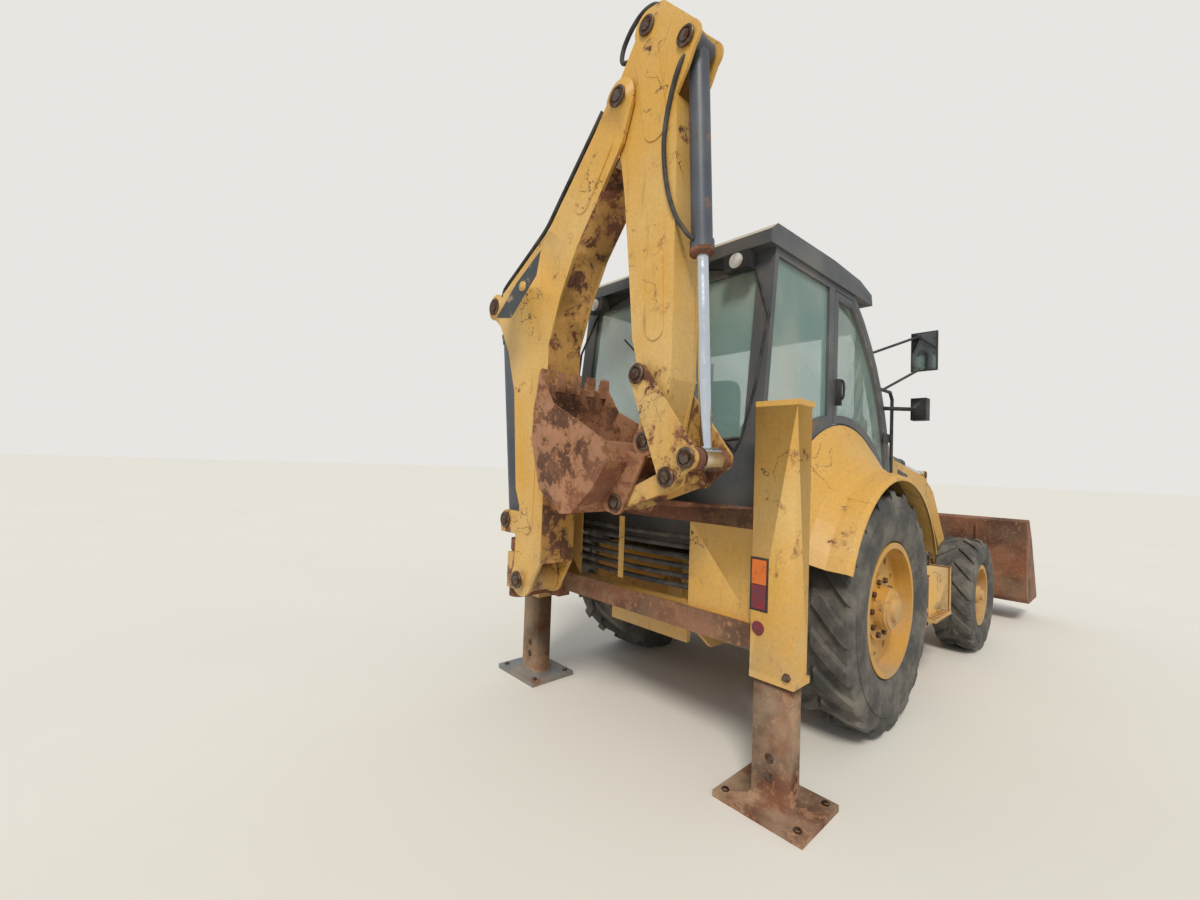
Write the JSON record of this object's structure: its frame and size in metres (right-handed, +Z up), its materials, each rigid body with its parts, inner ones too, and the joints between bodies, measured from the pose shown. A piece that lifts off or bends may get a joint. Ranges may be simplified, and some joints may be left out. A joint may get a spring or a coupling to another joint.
{
  "type": "backhoe loader",
  "caption": "Backhoe loader: wheeled machine with a glazed cab, front loader bucket on two arms, and a folded side-shift hoe behind.",
  "frame": {"origin": "ground level below the middle of the overall length and of the width over the loader bucket, machine parked with stabilisers down", "axes": "+X forward towards the loader bucket, +Y to the machine's left, +Z up"},
  "size_m": [5.82, 2.4, 3.72],
  "materials": {
    "yellow_paint": "satin",
    "grey_paint": "satin",
    "black_paint": "satin",
    "engine_iron": "matte",
    "tyre": "matte",
    "glass": "gloss",
    "rod_chrome": "gloss",
    "black_plastic": "matte",
    "lamp_plastic": "gloss",
    "hose_rubber": "matte",
    "seat_fabric": "matte",
    "exhaust_steel": "satin"
  },
  "bodies": {
    "chassis": {"main_frame": "yellow_paint", "engine_block": "engine_iron", "hood": "yellow_paint", "rear_axle": "yellow_paint", "cab_frame": "grey_paint", "cab_roof": "yellow_paint", "cab_glass": "glass", "fenders": "yellow_paint", "seat": "seat_fabric", "console": "black_plastic", "tanks": "black_paint", "exhaust": "exhaust_steel", "rear_frame": "yellow_paint", "lamps": "lamp_plastic", "mirrors": "black_plastic", "grab_rails": "black_paint", "hose_bundle": "hose_rubber", "front_axle": "yellow_paint"},
    "steer_left_knuckle": {"knuckle_left": "yellow_paint"},
    "steer_right_knuckle": {"knuckle_right": "yellow_paint"},
    "front_wheel_left": {"front_tyre_left": "tyre", "front_rim_left": "yellow_paint"},
    "front_wheel_right": {"front_tyre_right": "tyre", "front_rim_right": "yellow_paint"},
    "rear_wheel_left": {"rear_tyre_left": "tyre", "rear_rim_left": "yellow_paint"},
    "rear_wheel_right": {"rear_tyre_right": "tyre", "rear_rim_right": "yellow_paint"},
    "door_left_body": {"door_left": "grey_paint"},
    "door_right_body": {"door_right": "grey_paint"},
    "arms": {"loader_arms": "yellow_paint"},
    "levers": {"loader_levers": "yellow_paint"},
    "links": {"loader_links": "yellow_paint"},
    "tilt_barrels_body": {"tilt_barrels": "black_paint"},
    "tilt_rods_body": {"tilt_rods": "rod_chrome"},
    "lift_barrels_body": {"lift_barrels": "black_paint"},
    "lift_rods_body": {"lift_rods": "rod_chrome"},
    "loader_bucket_body": {"loader_bucket": "yellow_paint"},
    "carriage_body": {"carriage": "yellow_paint"},
    "kingpost_body": {"kingpost": "yellow_paint"},
    "boom_body": {"boom": "yellow_paint"},
    "boom_barrel_body": {"boom_barrel": "black_paint"},
    "boom_rod_body": {"boom_rod": "rod_chrome"},
    "stick_body": {"stick": "yellow_paint"},
    "stick_barrel_body": {"stick_barrel": "black_paint"},
    "stick_rod_body": {"stick_rod": "rod_chrome"},
    "bucket_barrel_body": {"bucket_barrel": "black_paint"},
    "bucket_rod_body": {"bucket_rod": "rod_chrome"},
    "guide_links_body": {"guide_links": "yellow_paint"},
    "power_link_body": {"power_link": "yellow_paint"},
    "hoe_bucket_body": {"hoe_bucket": "yellow_paint"},
    "leg_left_body": {"leg_left": "yellow_paint"},
    "leg_right_body": {"leg_right": "yellow_paint"}
  },
  "joints": [
    {"name": "rear_wheel_left_spin", "type": "hinge", "parent": "chassis", "child": "rear_wheel_left", "pos_m": [-1.21, 0.85, 0.7], "axis": [0, 1, 0], "continuous": true},
    {"name": "steer_left", "type": "hinge", "parent": "chassis", "child": "steer_left_knuckle", "pos_m": [0.95, 0.7, 0.475], "axis": [0, 0, 1], "range_deg": [-35, 35]},
    {"name": "front_wheel_left_spin", "type": "hinge", "parent": "steer_left_knuckle", "child": "front_wheel_left", "pos_m": [0.95, 0.93, 0.475], "axis": [0, 1, 0], "continuous": true},
    {"name": "door_left_hinge", "type": "hinge", "parent": "chassis", "child": "door_left_body", "pos_m": [-0.362, 0.742, 1.365], "axis": [0, 0, -1], "range_deg": [0, 80]},
    {"name": "leg_left_lift", "type": "slide", "parent": "chassis", "child": "leg_left_body", "axis": [0, 0, 1], "range_m": [0, 0.5]},
    {"name": "rear_wheel_right_spin", "type": "hinge", "parent": "chassis", "child": "rear_wheel_right", "pos_m": [-1.21, -0.85, 0.7], "axis": [0, 1, 0], "continuous": true},
    {"name": "steer_right", "type": "hinge", "parent": "chassis", "child": "steer_right_knuckle", "pos_m": [0.95, -0.7, 0.475], "axis": [0, 0, 1], "range_deg": [-35, 35]},
    {"name": "front_wheel_right_spin", "type": "hinge", "parent": "steer_right_knuckle", "child": "front_wheel_right", "pos_m": [0.95, -0.93, 0.475], "axis": [0, 1, 0], "continuous": true},
    {"name": "door_right_hinge", "type": "hinge", "parent": "chassis", "child": "door_right_body", "pos_m": [-0.362, -0.742, 1.365], "axis": [0, 0, 1], "range_deg": [0, 80]},
    {"name": "leg_right_lift", "type": "slide", "parent": "chassis", "child": "leg_right_body", "axis": [0, 0, 1], "range_m": [0, 0.5]},
    {"name": "lift", "type": "hinge", "parent": "chassis", "child": "arms", "pos_m": [-0.15, 0, 1.56], "axis": [0, -1, 0], "range_deg": [-4, 75]},
    {"name": "loader_dump", "type": "hinge", "parent": "arms", "child": "loader_bucket_body", "pos_m": [2.12, 0, 0.33], "axis": [0, 1, 0], "range_deg": [-37, 80]},
    {"name": "lever_turn", "type": "hinge", "parent": "arms", "child": "levers", "pos_m": [1.61, 0, 0.96], "axis": [0, -1, 0], "range_deg": [-23.69, 51]},
    {"name": "link_turn", "type": "hinge", "parent": "levers", "child": "links", "pos_m": [1.53, 0, 0.548], "axis": [0, -1, 0], "range_deg": [-57.32, 26.62]},
    {"name": "tilt_barrel_turn", "type": "hinge", "parent": "arms", "child": "tilt_barrels_body", "pos_m": [0.03, 0, 1.7], "axis": [0, -1, 0], "range_deg": [-16.6, 7.79]},
    {"name": "tilt_rod_slide", "type": "slide", "parent": "tilt_barrels_body", "child": "tilt_rods_body", "axis": [0.9907, 0, -0.1357], "range_m": [-0.2897, 0.1351]},
    {"name": "lift_barrel_turn", "type": "hinge", "parent": "chassis", "child": "lift_barrels_body", "pos_m": [-0.09, 0, 0.7], "axis": [0, -1, 0], "range_deg": [-2.86, 50.08]},
    {"name": "lift_rod_slide", "type": "slide", "parent": "lift_barrels_body", "child": "lift_rods_body", "axis": [0.9378, 0, 0.3472], "range_m": [-0.0464, 0.8343]},
    {"name": "side_shift", "type": "slide", "parent": "chassis", "child": "carriage_body", "axis": [0, -1, 0], "range_m": [0, 1.2]},
    {"name": "swing", "type": "hinge", "parent": "carriage_body", "child": "kingpost_body", "pos_m": [-2.66, 0.675, 0.85], "axis": [0, 0, -1], "range_deg": [0, 180]},
    {"name": "boom_turn", "type": "hinge", "parent": "kingpost_body", "child": "boom_body", "pos_m": [-2.66, 0.48, 0.79], "axis": [1, 0, 0], "range_deg": [0, 115]},
    {"name": "stick_turn", "type": "hinge", "parent": "boom_body", "child": "stick_body", "pos_m": [-2.66, -0.225, 3.345], "axis": [-1, 0, 0], "range_deg": [0, 130]},
    {"name": "hoe_curl", "type": "hinge", "parent": "stick_body", "child": "hoe_bucket_body", "pos_m": [-2.66, -0.465, 1.6], "axis": [-1, 0, 0], "range_deg": [0, 140]},
    {"name": "boom_barrel_turn", "type": "hinge", "parent": "kingpost_body", "child": "boom_barrel_body", "pos_m": [-2.66, 0.71, 1.12], "axis": [1, 0, 0], "range_deg": [-0.2, 119.24]},
    {"name": "boom_rod_slide", "type": "slide", "parent": "boom_barrel_body", "child": "boom_rod_body", "axis": [0, 0.1324, 0.9912], "range_m": [-0.002, 0.6915]},
    {"name": "stick_barrel_turn", "type": "hinge", "parent": "boom_body", "child": "stick_barrel_body", "pos_m": [-2.66, 0.58, 2.57], "axis": [-1, 0, 0], "range_deg": [-0.2, 8.02]},
    {"name": "stick_rod_slide", "type": "slide", "parent": "stick_barrel_body", "child": "stick_rod_body", "axis": [0, -0.6695, 0.7428], "range_m": [-0.5915, 0.002]},
    {"name": "guide_turn", "type": "hinge", "parent": "stick_body", "child": "guide_links_body", "pos_m": [-2.66, -0.43, 1.91], "axis": [-1, 0, 0], "range_deg": [-0.2, 86.02]},
    {"name": "power_link_turn", "type": "hinge", "parent": "guide_links_body", "child": "power_link_body", "pos_m": [-2.66, -0.625, 1.44], "axis": [-1, 0, 0], "range_deg": [-37.47, 0.2]},
    {"name": "bucket_barrel_turn", "type": "hinge", "parent": "stick_body", "child": "bucket_barrel_body", "pos_m": [-2.66, -0.625, 3.43], "axis": [-1, 0, 0], "range_deg": [-0.2, 7]},
    {"name": "bucket_rod_slide", "type": "slide", "parent": "bucket_barrel_body", "child": "bucket_rod_body", "axis": [0, -0.055, -0.9985], "range_m": [-0.6425, 0.002]}
  ],
  "couplings": [
    {"joint": "steer_right", "follows": "steer_left", "ratio": 1},
    {"joint": "lever_turn", "follows": "loader_dump", "ratio": 0.6225},
    {"joint": "link_turn", "follows": "loader_dump", "ratio": -0.7},
    {"joint": "tilt_barrel_turn", "follows": "loader_dump", "ratio": -0.201},
    {"joint": "tilt_rod_slide", "follows": "loader_dump", "m_per_rad": -0.202},
    {"joint": "lift_barrel_turn", "follows": "lift", "ratio": 0.652},
    {"joint": "lift_rod_slide", "follows": "lift", "m_per_rad": 0.6234},
    {"joint": "boom_barrel_turn", "follows": "boom_turn", "ratio": 1.0148},
    {"joint": "boom_rod_slide", "follows": "boom_turn", "m_per_rad": 0.3368},
    {"joint": "stick_barrel_turn", "follows": "stick_turn", "ratio": 0.059},
    {"joint": "stick_rod_slide", "follows": "stick_turn", "m_per_rad": -0.2547},
    {"joint": "guide_turn", "follows": "hoe_curl", "ratio": 0.601},
    {"joint": "power_link_turn", "follows": "hoe_curl", "ratio": -0.261},
    {"joint": "bucket_barrel_turn", "follows": "hoe_curl", "ratio": 0.0476},
    {"joint": "bucket_rod_slide", "follows": "hoe_curl", "m_per_rad": -0.257}
  ]
}
